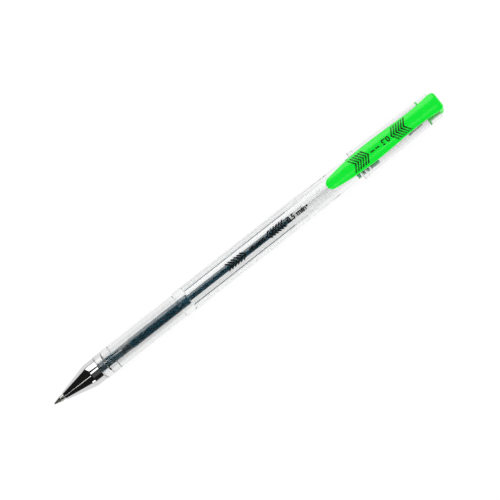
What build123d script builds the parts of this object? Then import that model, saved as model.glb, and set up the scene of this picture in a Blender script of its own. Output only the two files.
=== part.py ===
from build123d import *
import math
import os

# A capped gel pen with its cap posted on the tail of the barrel.
# The pen lies along X with its point towards -X, its clip towards +Z, and the lip of the cap
# resting on Z = 0. Millimetres throughout.
# A station is a distance along the pen from the front of the writing ball. A radius is a
# distance from the pen's own axis.

# ---------------------------------------------------------------- driving dimensions
TOTAL_LENGTH = 168.7
SLIDING_CLEARANCE = 0.05
RUNNING_CLEARANCE = 0.08
BONDED_CLEARANCE = 0.01
FLOAT = 0.1

# Point
BALL_RADIUS = 0.25
BALL_PROUD = 0.14
SEAT_RADIUS = BALL_RADIUS + BONDED_CLEARANCE
RIM_RADIUS = 0.29
POINT_CONE_END = 2.7
POINT_RADIUS = 1.1
POINT_SHOULDER = 8.8
SHANK_RADIUS = 0.8
SHANK_LENGTH = 4.0
FEED_HOLE_RADIUS = 0.12
FEED_HOLE_END = 1.5
POINT_CHANNEL_RADIUS = 0.45

# Nose cone
NOSE_MOUTH = 4.4
NOSE_MOUTH_RADIUS = 1.5
NOSE_BORE_RADIUS = POINT_RADIUS + FLOAT
NOSE_BORE_END = 8.6
NOSE_CORNER = 15.7
NOSE_RADIUS = 4.375
NOSE_END = 20.0
NOSE_CHAMFER = 0.2
NOSE_THREAD_START = 14.6
NOSE_THREAD_RADIUS = 3.5
NOSE_STEP = 11.3
NOSE_STEP_RADIUS = 1.8
NOSE_CAVITY_RADIUS = 2.4

# Barrel
BARREL_FRONT = 14.9
THREAD_SPIGOT_RADIUS = NOSE_THREAD_RADIUS - RUNNING_CLEARANCE
GRIP_START = 20.1
GRIP_RADIUS = 4.425
GRIP_END = 54.8
COLLAR_START = 55.7
COLLAR_END = 58.4
COLLAR_RADIUS = 4.8
COLLAR_GROOVE = 59.0
COLLAR_GROOVE_RADIUS = 4.6
HEX_SIDES = 6
HEX_FLAT_RADIUS = 4.3
HEX_CORNER_FILLET = 1.2
HEX_ROLL = 5.4
HEX_FULL_START = 60.2
HEX_FULL_END = 103.2
TAIL_START = 130.6
TAIL_RADIUS = 4.15
BARREL_END = 137.4
BORE_RADIUS = 3.1
FRONT_BORE_RADIUS = 2.1
FRONT_BORE_END = 22.6
BORE_STEP_START = 23.2
BORE_STEP_END = 26.2
BORE_STEP_RADIUS = 2.9

# Refill
HOLDER_FRONT_RADIUS = 1.6
HOLDER_FLANGE_RADIUS = 2.2
HOLDER_RADIUS = 1.75
HOLDER_RIB_RADIUS = 2.0
HOLDER_RIB_WIDTH = 0.6
HOLDER_RIB_STATIONS = (22.8, 26.0, 27.1)
HOLDER_CHANNEL_RADIUS = 1.08
TUBE_START = 29.0
TUBE_END = 130.0
TUBE_OUTER_RADIUS = 1.875
TUBE_INNER_RADIUS = 1.375
HOLDER_END = 33.5
INK_END = 103.5
FOLLOWER_END = 109.0
MENISCUS_DEPTH = 0.5

# Tail plug
PLUG_START = 130.6
PLUG_BODY_RADIUS = 3.0
PLUG_RING_COUNT = 4
PLUG_RING_WIDTH = 1.3
PLUG_RING_SPACING = 1.8
PLUG_END = 139.8
PLUG_EDGE_CHAMFER = 0.3
VENT_RADIUS = 0.5

# Cap
CAP_MOUTH = 132.4
LIP_RADIUS = 5.6
LIP_END = 134.2
CAP_MOUTH_RADIUS = 5.35
CAP_RADIUS = 4.9
CAP_END = 166.6
CAP_RIM_FILLET = 0.4
CAP_BORE_RADIUS = TAIL_RADIUS + SLIDING_CLEARANCE
CAP_LEAD_IN = 0.3
CROWN_SEAT = 161.7
CROWN_BORE_RADIUS = 3.95

# Crown
PLUG_LIP_LENGTH = 0.6
CROWN_PLUG_RADIUS = 3.85
CROWN_RADIUS = 4.15
ROOT_HALF_WIDTH = 3.5
ROOT_CORNER_RADIUS = 1.4
CROWN_CORNER_RADIUS = 1.8
CROWN_SOCKET_RADIUS = 2.6
CROWN_SOCKET_END = 165.0

# Clip
CLIP_TIP = 120.0
CLIP_TIP_HALF_WIDTH = 2.2
CLIP_NECK = 130.1
CLIP_NECK_HALF_WIDTH = 3.1
CLIP_BELLY = 140.1
CLIP_BELLY_HALF_WIDTH = 3.5
CLIP_WAIST = 156.8
CLIP_WAIST_HALF_WIDTH = 2.95
CLIP_FLANK_SLOPE = 0.1
CLIP_ROOT_SLOPE = 0.06
CLIP_BOTTOM = 6.1
CLIP_TOP = 7.7
CLIP_CROWN_RADIUS = 9.0
CLIP_SPLIT = 163.3
CLIP_SPLIT_HALF_WIDTH = 3.2
CLIP_SPLIT_GAP = 0.02
CLIP_PIP_STATION = 126.0
CLIP_PIP_RADIUS = 1.0

# Seal inside the cap
SEAL_START = 153.5
SEAL_RADIUS = 3.25
SEAL_FLANGE_END = 154.8
SEAL_BODY_RADIUS = 3.05
SEAL_BODY_END = 159.4
SEAL_MOUTH_RADIUS = 2.4
SEAL_THROAT = 155.9
SEAL_THROAT_RADIUS = 1.6
SEAL_WELL_START = 156.7
SEAL_WELL_RADIUS = POINT_RADIUS + SLIDING_CLEARANCE
SEAL_WELL_END = 160.5

# ---------------------------------------------------------------- frame of the pen
AXIS_HEIGHT = LIP_RADIUS
SIDE = Plane(origin=(-TOTAL_LENGTH / 2, 0, AXIS_HEIGHT), x_dir=(1, 0, 0), z_dir=(0, -1, 0))
PLAN = Plane(origin=(-TOTAL_LENGTH / 2, 0, AXIS_HEIGHT), x_dir=(1, 0, 0), z_dir=(0, 0, 1))
PEN_AXIS = Axis((0, 0, AXIS_HEIGHT), (1, 0, 0))


def across(station):
    """Plane square to the pen at a station, its local X to the side and its local Y up."""
    origin = (station - TOTAL_LENGTH / 2, 0, AXIS_HEIGHT)
    return Plane(origin=origin, x_dir=(0, 1, 0), z_dir=(1, 0, 0))


def save(piece, label):
    """Name a finished piece and write it as its own STEP file."""
    piece.part.label = label
    export_step(piece.part, f"parts/{label}.step")


os.makedirs("parts", exist_ok=True)

# ---------------------------------------------------------------- refill
with BuildPart(across(BALL_RADIUS)) as writing_ball:
    Sphere(BALL_RADIUS)
save(writing_ball, "writing_ball")

# Turned steel point: cone, collar and a shank that is pressed into the holder.
with BuildPart() as tip_body:
    with BuildSketch(SIDE):
        with BuildLine():
            Polyline(
                (BALL_PROUD, 0),
                (BALL_PROUD, RIM_RADIUS),
                (POINT_CONE_END, POINT_RADIUS),
                (POINT_SHOULDER, POINT_RADIUS),
                (POINT_SHOULDER, SHANK_RADIUS),
                (POINT_SHOULDER + SHANK_LENGTH, SHANK_RADIUS),
                (POINT_SHOULDER + SHANK_LENGTH, POINT_CHANNEL_RADIUS),
                (FEED_HOLE_END + POINT_CHANNEL_RADIUS, POINT_CHANNEL_RADIUS),
                (FEED_HOLE_END, FEED_HOLE_RADIUS),
                (BALL_RADIUS, FEED_HOLE_RADIUS),
                (BALL_RADIUS, 0),
                close=True,
            )
        make_face()
    revolve(axis=PEN_AXIS)
    with BuildSketch(across(BALL_RADIUS)):
        Circle(FEED_HOLE_RADIUS)
    extrude(amount=BALL_RADIUS, mode=Mode.SUBTRACT)
    with Locations(across(BALL_RADIUS)):
        Sphere(SEAT_RADIUS, mode=Mode.SUBTRACT)
save(tip_body, "tip_body")

# Adapter between the steel point and the refill tube. Its flange is held between the step
# in the nose cone and the front of the barrel, and it stops the refill from moving.
with BuildPart() as tip_holder:
    with BuildSketch(SIDE):
        with BuildLine():
            Polyline(
                (POINT_SHOULDER, SHANK_RADIUS),
                (POINT_SHOULDER, HOLDER_FRONT_RADIUS),
                (NOSE_STEP + FLOAT, HOLDER_FRONT_RADIUS),
                (NOSE_STEP + FLOAT, HOLDER_FLANGE_RADIUS),
                (BARREL_FRONT - FLOAT, HOLDER_FLANGE_RADIUS),
                (BARREL_FRONT - FLOAT, HOLDER_RADIUS),
                (TUBE_START - HOLDER_RIB_WIDTH, HOLDER_RADIUS),
                (TUBE_START - HOLDER_RIB_WIDTH, HOLDER_RIB_RADIUS),
                (TUBE_START, HOLDER_RIB_RADIUS),
                (TUBE_START, TUBE_INNER_RADIUS - BONDED_CLEARANCE),
                (HOLDER_END, TUBE_INNER_RADIUS - BONDED_CLEARANCE),
                (HOLDER_END, HOLDER_CHANNEL_RADIUS),
                (POINT_SHOULDER + SHANK_LENGTH, HOLDER_CHANNEL_RADIUS),
                (POINT_SHOULDER + SHANK_LENGTH, SHANK_RADIUS),
                close=True,
            )
        make_face()
    revolve(axis=PEN_AXIS)
    for station in HOLDER_RIB_STATIONS:
        with BuildSketch(across(station - HOLDER_RIB_WIDTH / 2)):
            Circle(HOLDER_RIB_RADIUS)
            Circle(HOLDER_CHANNEL_RADIUS, mode=Mode.SUBTRACT)
        extrude(amount=HOLDER_RIB_WIDTH)
save(tip_holder, "tip_holder")

with BuildPart() as refill_tube:
    with BuildSketch(across(TUBE_START)):
        Circle(TUBE_OUTER_RADIUS)
        Circle(TUBE_INNER_RADIUS, mode=Mode.SUBTRACT)
    extrude(amount=TUBE_END - TUBE_START)
save(refill_tube, "refill_tube")

# Ink from the back of the steel point, through the holder, and down the tube as far as the
# hollow skin of its rear face.
with BuildPart() as gel_ink:
    with BuildSketch(SIDE):
        with BuildLine():
            Polyline(
                (INK_END - MENISCUS_DEPTH, 0),
                (POINT_SHOULDER + SHANK_LENGTH, 0),
                (POINT_SHOULDER + SHANK_LENGTH, HOLDER_CHANNEL_RADIUS - BONDED_CLEARANCE),
                (HOLDER_END, HOLDER_CHANNEL_RADIUS - BONDED_CLEARANCE),
                (HOLDER_END, TUBE_INNER_RADIUS - BONDED_CLEARANCE),
                (INK_END, TUBE_INNER_RADIUS - BONDED_CLEARANCE),
            )
            TangentArc(
                (INK_END - MENISCUS_DEPTH, 0),
                (INK_END, TUBE_INNER_RADIUS - BONDED_CLEARANCE),
                tangent=(0, 1),
            )
        make_face()
    revolve(axis=PEN_AXIS)
save(gel_ink, "gel_ink")

# Clear grease that follows the ink down the tube.
with BuildPart() as ink_follower:
    with BuildSketch(SIDE):
        with BuildLine():
            TangentArc(
                (INK_END - MENISCUS_DEPTH + BONDED_CLEARANCE, 0),
                (INK_END + BONDED_CLEARANCE, TUBE_INNER_RADIUS - BONDED_CLEARANCE),
                tangent=(0, 1),
            )
            Polyline(
                (INK_END + BONDED_CLEARANCE, TUBE_INNER_RADIUS - BONDED_CLEARANCE),
                (FOLLOWER_END, TUBE_INNER_RADIUS - BONDED_CLEARANCE),
            )
            TangentArc(
                (FOLLOWER_END - MENISCUS_DEPTH, 0),
                (FOLLOWER_END, TUBE_INNER_RADIUS - BONDED_CLEARANCE),
                tangent=(0, 1),
            )
            Line(
                (FOLLOWER_END - MENISCUS_DEPTH, 0),
                (INK_END - MENISCUS_DEPTH + BONDED_CLEARANCE, 0),
            )
        make_face()
    revolve(axis=PEN_AXIS)
save(ink_follower, "ink_follower")

# ---------------------------------------------------------------- nose cone
with BuildPart() as nose_cone:
    with BuildSketch(SIDE):
        with BuildLine():
            Polyline(
                (NOSE_MOUTH, NOSE_BORE_RADIUS),
                (NOSE_MOUTH, NOSE_MOUTH_RADIUS),
                (NOSE_CORNER, NOSE_RADIUS),
                (NOSE_END - NOSE_CHAMFER, NOSE_RADIUS),
                (NOSE_END, NOSE_RADIUS - NOSE_CHAMFER),
                (NOSE_END, NOSE_THREAD_RADIUS),
                (NOSE_THREAD_START, NOSE_THREAD_RADIUS),
                (NOSE_THREAD_START, NOSE_CAVITY_RADIUS),
                (NOSE_STEP, NOSE_CAVITY_RADIUS),
                (NOSE_STEP, NOSE_STEP_RADIUS),
                (NOSE_BORE_END, NOSE_STEP_RADIUS),
                (NOSE_BORE_END, NOSE_BORE_RADIUS),
                close=True,
            )
        make_face()
    revolve(axis=PEN_AXIS)
save(nose_cone, "nose_cone")

# ---------------------------------------------------------------- barrel
HEX_CORNER_RADIUS = HEX_FLAT_RADIUS / math.cos(math.pi / HEX_SIDES)

with BuildPart() as barrel:
    # Hexagonal bar with rounded corners, turned down to a cone at both ends. The cap takes the
    # tail at any angle, so the printed flat stands a few degrees off the middle of the clip.
    with BuildSketch(across(COLLAR_GROOVE)):
        RegularPolygon(
            HEX_FLAT_RADIUS, side_count=HEX_SIDES, major_radius=False, rotation=HEX_ROLL
        )
        fillet(vertices(), HEX_CORNER_FILLET)
    extrude(amount=BARREL_END - COLLAR_GROOVE)
    with BuildSketch(SIDE):
        with BuildLine():
            Polyline(
                (COLLAR_GROOVE, 0),
                (COLLAR_GROOVE, COLLAR_GROOVE_RADIUS),
                (HEX_FULL_START, HEX_CORNER_RADIUS),
                (HEX_FULL_END, HEX_CORNER_RADIUS),
                (TAIL_START, TAIL_RADIUS),
                (BARREL_END, TAIL_RADIUS),
                (BARREL_END, 0),
                close=True,
            )
        make_face()
    revolve(axis=PEN_AXIS, mode=Mode.INTERSECT)
    # Thread spigot, round grip and raised collar.
    with BuildSketch(SIDE):
        with BuildLine():
            Polyline(
                (BARREL_FRONT, 0),
                (BARREL_FRONT, THREAD_SPIGOT_RADIUS),
                (GRIP_START, THREAD_SPIGOT_RADIUS),
                (GRIP_START, GRIP_RADIUS - NOSE_CHAMFER),
                (GRIP_START + NOSE_CHAMFER, GRIP_RADIUS),
                (GRIP_END, GRIP_RADIUS),
                (COLLAR_START, COLLAR_RADIUS),
                (COLLAR_END, COLLAR_RADIUS),
                (COLLAR_GROOVE, COLLAR_GROOVE_RADIUS),
                (COLLAR_GROOVE, 0),
                close=True,
            )
        make_face()
    revolve(axis=PEN_AXIS)
    # Stepped bore for the refill.
    with BuildSketch(SIDE):
        with BuildLine():
            Polyline(
                (BARREL_FRONT, 0),
                (BARREL_FRONT, FRONT_BORE_RADIUS),
                (FRONT_BORE_END, FRONT_BORE_RADIUS),
                (BORE_STEP_START, BORE_STEP_RADIUS),
                (BORE_STEP_END, BORE_STEP_RADIUS),
                (BORE_STEP_END + BORE_RADIUS - BORE_STEP_RADIUS, BORE_RADIUS),
                (BARREL_END, BORE_RADIUS),
                (BARREL_END, 0),
                close=True,
            )
        make_face()
    revolve(axis=PEN_AXIS, mode=Mode.SUBTRACT)
save(barrel, "barrel")

# Ringed plug pressed into the tail of the barrel, with a vent for the refill.
with BuildPart() as barrel_end_plug:
    with BuildSketch(across(PLUG_START)):
        Circle(PLUG_BODY_RADIUS)
    extrude(amount=BARREL_END - PLUG_START)
    for ring in range(PLUG_RING_COUNT):
        with BuildSketch(across(PLUG_START + ring * PLUG_RING_SPACING)):
            Circle(BORE_RADIUS - BONDED_CLEARANCE)
        extrude(amount=PLUG_RING_WIDTH)
    with BuildSketch(across(BARREL_END)):
        Circle(TAIL_RADIUS)
    extrude(amount=PLUG_END - BARREL_END)
    chamfer(faces().sort_by(Axis.X)[-1].edges(), PLUG_EDGE_CHAMFER)
    with BuildSketch(across(PLUG_START)):
        Circle(VENT_RADIUS)
    extrude(amount=PLUG_END - PLUG_START, mode=Mode.SUBTRACT)
save(barrel_end_plug, "barrel_end_plug")

# ---------------------------------------------------------------- cap
with BuildPart() as cap_tube:
    with BuildSketch(SIDE):
        with BuildLine():
            Polyline(
                (CAP_MOUTH, CAP_BORE_RADIUS + CAP_LEAD_IN),
                (CAP_MOUTH, LIP_RADIUS),
                (LIP_END, LIP_RADIUS),
                (LIP_END, CAP_MOUTH_RADIUS),
                (CAP_END - CAP_RIM_FILLET, CAP_RADIUS),
            )
            TangentArc(
                (CAP_END - CAP_RIM_FILLET, CAP_RADIUS),
                (CAP_END, CAP_RADIUS - CAP_RIM_FILLET),
                tangent=(1, 0),
            )
            Polyline(
                (CAP_END, CAP_RADIUS - CAP_RIM_FILLET),
                (CAP_END, CROWN_BORE_RADIUS),
                (CROWN_SEAT, CROWN_BORE_RADIUS),
                (CROWN_SEAT, CAP_BORE_RADIUS),
                (CAP_MOUTH + CAP_LEAD_IN, CAP_BORE_RADIUS),
                (CAP_MOUTH, CAP_BORE_RADIUS + CAP_LEAD_IN),
            )
        make_face()
    revolve(axis=PEN_AXIS)
save(cap_tube, "cap_tube")

# Soft plug that takes the steel point when the cap is on the front of the pen.
with BuildPart() as cap_seal:
    with BuildSketch(SIDE):
        with BuildLine():
            Polyline(
                (SEAL_START, SEAL_MOUTH_RADIUS),
                (SEAL_START, SEAL_RADIUS),
                (SEAL_FLANGE_END, SEAL_RADIUS),
                (SEAL_FLANGE_END, SEAL_BODY_RADIUS),
                (SEAL_BODY_END, SEAL_BODY_RADIUS),
                (SEAL_BODY_END, CROWN_SOCKET_RADIUS - BONDED_CLEARANCE),
                (CROWN_SOCKET_END, CROWN_SOCKET_RADIUS - BONDED_CLEARANCE),
                (CROWN_SOCKET_END, 0),
                (SEAL_WELL_END, 0),
                (SEAL_WELL_END, SEAL_WELL_RADIUS),
                (SEAL_WELL_START, SEAL_WELL_RADIUS),
                (SEAL_THROAT, SEAL_THROAT_RADIUS),
                close=True,
            )
        make_face()
    revolve(axis=PEN_AXIS)
save(cap_seal, "cap_seal")

# Upper faces of the clip and of the crown: a long arch, highest above the pen's axis.
with BuildSketch(across(CLIP_TIP)) as arch:
    with Locations((0, CLIP_TOP - CLIP_CROWN_RADIUS)):
        Circle(CLIP_CROWN_RADIUS)

# Crown: a plug in the end of the cap, a domed end, and the hooked root of the clip.
with BuildPart() as cap_crown:
    with BuildSketch(SIDE):
        with BuildLine():
            Polyline(
                (TOTAL_LENGTH, CLIP_TOP - CROWN_CORNER_RADIUS),
                (TOTAL_LENGTH, 0),
                (CAP_END, 0),
                (CAP_END, CAP_RADIUS),
                (CAP_END - CAP_RIM_FILLET, CLIP_BOTTOM),
                (CLIP_SPLIT, CLIP_BOTTOM),
                (CLIP_SPLIT, CLIP_TOP),
                (TOTAL_LENGTH - CROWN_CORNER_RADIUS, CLIP_TOP),
            )
            TangentArc(
                (TOTAL_LENGTH - CROWN_CORNER_RADIUS, CLIP_TOP),
                (TOTAL_LENGTH, CLIP_TOP - CROWN_CORNER_RADIUS),
                tangent=(1, 0),
            )
        make_face()
    extrude(amount=CROWN_RADIUS, both=True)
    # Plan of the root: a little wider than the clip, and narrower than the dome of the crown.
    with BuildSketch(PLAN):
        with BuildLine():
            flank = Spline(
                (CLIP_SPLIT, CLIP_SPLIT_HALF_WIDTH),
                (CAP_END, ROOT_HALF_WIDTH),
                tangents=[(1, CLIP_ROOT_SLOPE), (1, CLIP_ROOT_SLOPE)],
            )
            shoulder = Line(flank @ 1, (TOTAL_LENGTH - ROOT_CORNER_RADIUS, ROOT_HALF_WIDTH))
            corner = TangentArc(
                shoulder @ 1,
                (TOTAL_LENGTH, ROOT_HALF_WIDTH - ROOT_CORNER_RADIUS),
                tangent=(1, 0),
            )
            Line(corner @ 1, (TOTAL_LENGTH, 0))
            Line((CLIP_SPLIT, 0), flank @ 0)
            mirror(about=Plane.XZ)
        make_face()
    extrude(amount=CLIP_TOP, mode=Mode.INTERSECT)
    extrude(arch.sketch, amount=TOTAL_LENGTH - CLIP_TIP, mode=Mode.INTERSECT)
    # Plug and dome.
    with BuildSketch(SIDE):
        with BuildLine():
            Polyline(
                (TOTAL_LENGTH, CROWN_RADIUS - CROWN_CORNER_RADIUS),
                (TOTAL_LENGTH, 0),
                (CROWN_SEAT, 0),
                (CROWN_SEAT, CROWN_BORE_RADIUS - BONDED_CLEARANCE),
                (CROWN_SEAT + PLUG_LIP_LENGTH, CROWN_BORE_RADIUS - BONDED_CLEARANCE),
                (CROWN_SEAT + PLUG_LIP_LENGTH, CROWN_PLUG_RADIUS),
                (CAP_END, CROWN_PLUG_RADIUS),
                (CAP_END, CROWN_RADIUS),
                (TOTAL_LENGTH - CROWN_CORNER_RADIUS, CROWN_RADIUS),
            )
            TangentArc(
                (TOTAL_LENGTH - CROWN_CORNER_RADIUS, CROWN_RADIUS),
                (TOTAL_LENGTH, CROWN_RADIUS - CROWN_CORNER_RADIUS),
                tangent=(1, 0),
            )
        make_face()
    revolve(axis=PEN_AXIS)
    with BuildSketch(across(CROWN_SEAT)):
        Circle(CROWN_SOCKET_RADIUS)
    extrude(amount=CROWN_SOCKET_END - CROWN_SEAT, mode=Mode.SUBTRACT)
save(cap_crown, "cap_crown")

# Clip: a long tongue that narrows to a round tip, with a pip on its underside.
with BuildPart() as pocket_clip:
    with BuildSketch(PLAN.offset(CLIP_BOTTOM)):
        with BuildLine():
            tip = TangentArc(
                (CLIP_TIP, 0),
                (CLIP_TIP + CLIP_TIP_HALF_WIDTH, CLIP_TIP_HALF_WIDTH),
                tangent=(0, 1),
            )
            flank = Spline(
                tip @ 1,
                (CLIP_NECK, CLIP_NECK_HALF_WIDTH),
                (CLIP_BELLY, CLIP_BELLY_HALF_WIDTH),
                (CLIP_WAIST, CLIP_WAIST_HALF_WIDTH),
                (CLIP_SPLIT - CLIP_SPLIT_GAP, CLIP_SPLIT_HALF_WIDTH),
                tangents=[(1, CLIP_FLANK_SLOPE), (1, CLIP_ROOT_SLOPE)],
            )
            Line(flank @ 1, (CLIP_SPLIT - CLIP_SPLIT_GAP, 0))
            mirror(about=Plane.XZ)
        make_face()
    extrude(amount=CLIP_TOP - CLIP_BOTTOM)
    extrude(arch.sketch, amount=TOTAL_LENGTH - CLIP_TIP, mode=Mode.INTERSECT)
    with Locations(PLAN.offset(CLIP_BOTTOM)):
        with Locations((CLIP_PIP_STATION, 0)):
            Sphere(CLIP_PIP_RADIUS)
save(pocket_clip, "pocket_clip")
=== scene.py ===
import math

import bmesh
import bpy
from mathutils import Matrix, Vector


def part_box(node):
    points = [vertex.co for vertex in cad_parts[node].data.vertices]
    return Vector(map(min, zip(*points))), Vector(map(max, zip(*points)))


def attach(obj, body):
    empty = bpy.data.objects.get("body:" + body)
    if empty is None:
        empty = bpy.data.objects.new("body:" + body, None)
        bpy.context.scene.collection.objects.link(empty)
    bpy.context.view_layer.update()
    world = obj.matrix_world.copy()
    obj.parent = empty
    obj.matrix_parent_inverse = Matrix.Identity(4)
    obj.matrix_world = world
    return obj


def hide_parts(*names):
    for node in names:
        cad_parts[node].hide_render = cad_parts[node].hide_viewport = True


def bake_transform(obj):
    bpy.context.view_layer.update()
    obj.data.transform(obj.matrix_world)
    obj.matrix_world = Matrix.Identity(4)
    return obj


# A clear gel pen with its cap posted on the tail.
# A station is a distance in millimetres along the pen from the front of the writing ball,
# and a radius is a distance in millimetres from the pen's own axis.

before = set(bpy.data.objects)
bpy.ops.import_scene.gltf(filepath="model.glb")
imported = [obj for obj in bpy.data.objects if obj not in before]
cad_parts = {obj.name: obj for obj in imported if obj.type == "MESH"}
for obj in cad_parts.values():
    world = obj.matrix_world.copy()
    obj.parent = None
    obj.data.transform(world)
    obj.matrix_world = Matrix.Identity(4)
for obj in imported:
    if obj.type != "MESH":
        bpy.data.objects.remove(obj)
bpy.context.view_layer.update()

MM = 0.001
CAP_LOW, CAP_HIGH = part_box("cap_tube")
AXIS_Z = (CAP_LOW.z + CAP_HIGH.z) / 2
FRONT_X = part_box("writing_ball")[0].x


def station_of(x):
    """Station of a world X coordinate."""
    return (x - FRONT_X) / MM


def place(station, side=0.0, up=0.0):
    """World point at a station, a distance to the side and a height above the axis."""
    return Vector((FRONT_X + station * MM, side * MM, AXIS_Z + up * MM))


def start_of(node):
    return station_of(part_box(node)[0].x)


def end_of(node):
    return station_of(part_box(node)[1].x)


def radius_of(node):
    """Largest radius of a round node."""
    low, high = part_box(node)
    return (high.y - low.y) / 2 / MM


# ---------------------------------------------------------------- sizes
BALL_RADIUS = radius_of("writing_ball")
BALL_PROUD = 0.14
RIM_RADIUS = 0.29
POINT_CONE_END = 2.7
POINT_RADIUS = radius_of("tip_body")
POINT_SHOULDER = 8.8
SHANK_END = POINT_SHOULDER + 4.0
SHANK_RADIUS = 0.8
POINT_CHANNEL_RADIUS = 0.45
POINT_CHANNEL_START = 2.0
POINT_DUCT_START = 1.5
POINT_DUCT_RADIUS = 0.12
SEAT_END = 0.42
SEAT_RADIUS = 0.26

NOSE_MOUTH = start_of("nose_cone")
NOSE_END = end_of("nose_cone")
NOSE_RADIUS = radius_of("nose_cone")
NOSE_MOUTH_RADIUS = 1.5
NOSE_BORE_RADIUS = 1.2
NOSE_BORE_END = 8.6
NOSE_STEP = 11.3
NOSE_STEP_RADIUS = 1.8
NOSE_CAVITY_RADIUS = 2.4
NOSE_THREAD_START = 14.6
NOSE_THREAD_RADIUS = 3.5
NOSE_CORNER = 15.7
NOSE_SHOULDER_REACH = 1.0

BARREL_FRONT = start_of("barrel")
BARREL_END = end_of("barrel")
SPIGOT_RADIUS = 3.42
GRIP_START = 20.1
GRIP_RADIUS = 4.425
GRIP_END = 54.8
COLLAR_START = 55.7
COLLAR_END = 58.4
COLLAR_RADIUS = 4.8
COLLAR_GROOVE = 59.0
COLLAR_GROOVE_RADIUS = 4.6
HEX_FLAT_RADIUS = 4.3
HEX_CORNER_FILLET = 1.2
HEX_ROLL = math.radians(5.4)
HEX_FULL_START = 60.2
HEX_FULL_END = 103.2
TAIL_START = 130.6
TAIL_RADIUS = 4.15
BORE_RADIUS = 3.1
FRONT_BORE_RADIUS = 2.1
FRONT_BORE_END = 22.6
BORE_STEP_START = 23.2
BORE_STEP_END = 26.2
BORE_STEP_RADIUS = 2.9

HOLDER_START = start_of("tip_holder")
HOLDER_END = end_of("tip_holder")
HOLDER_FRONT_RADIUS = 1.6
HOLDER_FLANGE_RADIUS = radius_of("tip_holder")
HOLDER_RADIUS = 1.75
HOLDER_RIB_RADIUS = 2.0
HOLDER_RIB_WIDTH = 0.6
HOLDER_RIB_STATIONS = (22.8, 26.0, 27.1, 28.7)
HOLDER_CHANNEL_RADIUS = 1.08
TUBE_START = start_of("refill_tube")
TUBE_END = end_of("refill_tube")
TUBE_RADIUS = radius_of("refill_tube")
TUBE_BORE_RADIUS = 1.375
INK_START = start_of("gel_ink")
INK_END = end_of("gel_ink")
FOLLOWER_END = end_of("ink_follower")
MENISCUS_DEPTH = 0.5

PLUG_START = start_of("barrel_end_plug")
PLUG_END = end_of("barrel_end_plug")
PLUG_BODY_RADIUS = 3.0
PLUG_RING_COUNT = 4
PLUG_RING_WIDTH = 1.3
PLUG_RING_SPACING = 1.8
VENT_RADIUS = 0.5

CAP_MOUTH = start_of("cap_tube")
CAP_END = end_of("cap_tube")
LIP_RADIUS = radius_of("cap_tube")
LIP_END = 134.2
CAP_MOUTH_RADIUS = 5.35
CAP_RADIUS = 4.9
CAP_BORE_RADIUS = 4.2
CROWN_SEAT = start_of("cap_crown")
CROWN_BORE_RADIUS = 3.95

CROWN_END = end_of("cap_crown")
CROWN_RADIUS = radius_of("cap_crown")
CROWN_PLUG_RADIUS = 3.85
CROWN_CORNER_RADIUS = 1.8
CROWN_SOCKET_RADIUS = 2.6
CROWN_SOCKET_END = 165.0
ROOT_HALF_WIDTH = 3.5
ROOT_CORNER_RADIUS = 1.4
CLIP_TIP = start_of("pocket_clip")
CLIP_BOTTOM = 6.1
CLIP_TOP = (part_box("pocket_clip")[1].z - AXIS_Z) / MM
CLIP_ARCH_RADIUS = 9.0
CLIP_EDGE_RADIUS = 0.45
CLIP_LOWER_EDGE = 0.12
CLIP_SPLIT = 163.3
CLIP_TIP_SLOPE = 0.135
CLIP_TIP_HALF_WIDTH = 2.2
CLIP_NECK = 130.1
CLIP_NECK_HALF_WIDTH = 3.1
CLIP_BELLY = 140.1
CLIP_BELLY_HALF_WIDTH = 3.5
CLIP_WAIST = 156.8
CLIP_WAIST_HALF_WIDTH = 2.95
CLIP_SPLIT_HALF_WIDTH = 3.2
CLIP_PIP_STATION = 126.0
CLIP_PIP_RADIUS = 1.0
CLIP_PIP_SUNK = 0.55

SEAL_START = start_of("cap_seal")
SEAL_END = end_of("cap_seal")
SEAL_RADIUS = radius_of("cap_seal")
SEAL_FLANGE_END = 154.8
SEAL_BODY_RADIUS = 3.05
SEAL_BODY_END = 159.4
SEAL_MOUTH_RADIUS = 2.4
SEAL_THROAT = (155.9, 1.6)
SEAL_POCKET_START = 156.7
SEAL_POCKET_END = 160.5
SEAL_POCKET_RADIUS = 1.15

CONTACT = 0.02
AIR = 0.02


# ---------------------------------------------------------------- shape tools
def to_world(bm):
    """Turns (station, side, up) coordinates into world coordinates."""
    bmesh.ops.scale(bm, verts=bm.verts, vec=(MM, MM, MM))
    bmesh.ops.translate(bm, verts=bm.verts, vec=(FRONT_X, 0, AXIS_Z))


def finished(bm, name, soft_angle=50):
    """Closes up a shape, turns its faces outwards and makes an object of it."""
    bmesh.ops.remove_doubles(bm, verts=bm.verts, dist=0.0005)
    bmesh.ops.dissolve_degenerate(bm, edges=bm.edges, dist=0.0001)
    bmesh.ops.recalc_face_normals(bm, faces=bm.faces)
    to_world(bm)
    mesh = bpy.data.meshes.new(name)
    bm.to_mesh(mesh)
    bm.free()
    mesh.shade_smooth()
    mesh.set_sharp_from_angle(angle=math.radians(soft_angle))
    piece = bpy.data.objects.new(name, mesh)
    bpy.context.scene.collection.objects.link(piece)
    even = piece.modifiers.new("even shading", "WEIGHTED_NORMAL")
    even.keep_sharp = True
    even.weight = 100
    return piece


def ring_edges(bm, angle):
    """Hoop edges where the profile of a turned shape breaks by more than an angle."""
    found = []
    for edge in bm.edges:
        if len(edge.link_faces) != 2:
            continue
        if abs(edge.verts[0].co.x - edge.verts[1].co.x) > 1e-5:
            continue
        if edge.calc_face_angle(0) > math.radians(angle):
            found.append(edge)
    return found


def bevel(bm, edges, width):
    """Rounds edges over with three facets."""
    bmesh.ops.bevel(
        bm,
        geom=edges,
        offset=width,
        offset_type="OFFSET",
        segments=3,
        profile=0.5,
        affect="EDGES",
        material=-1,
        clamp_overlap=True,
    )


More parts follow.
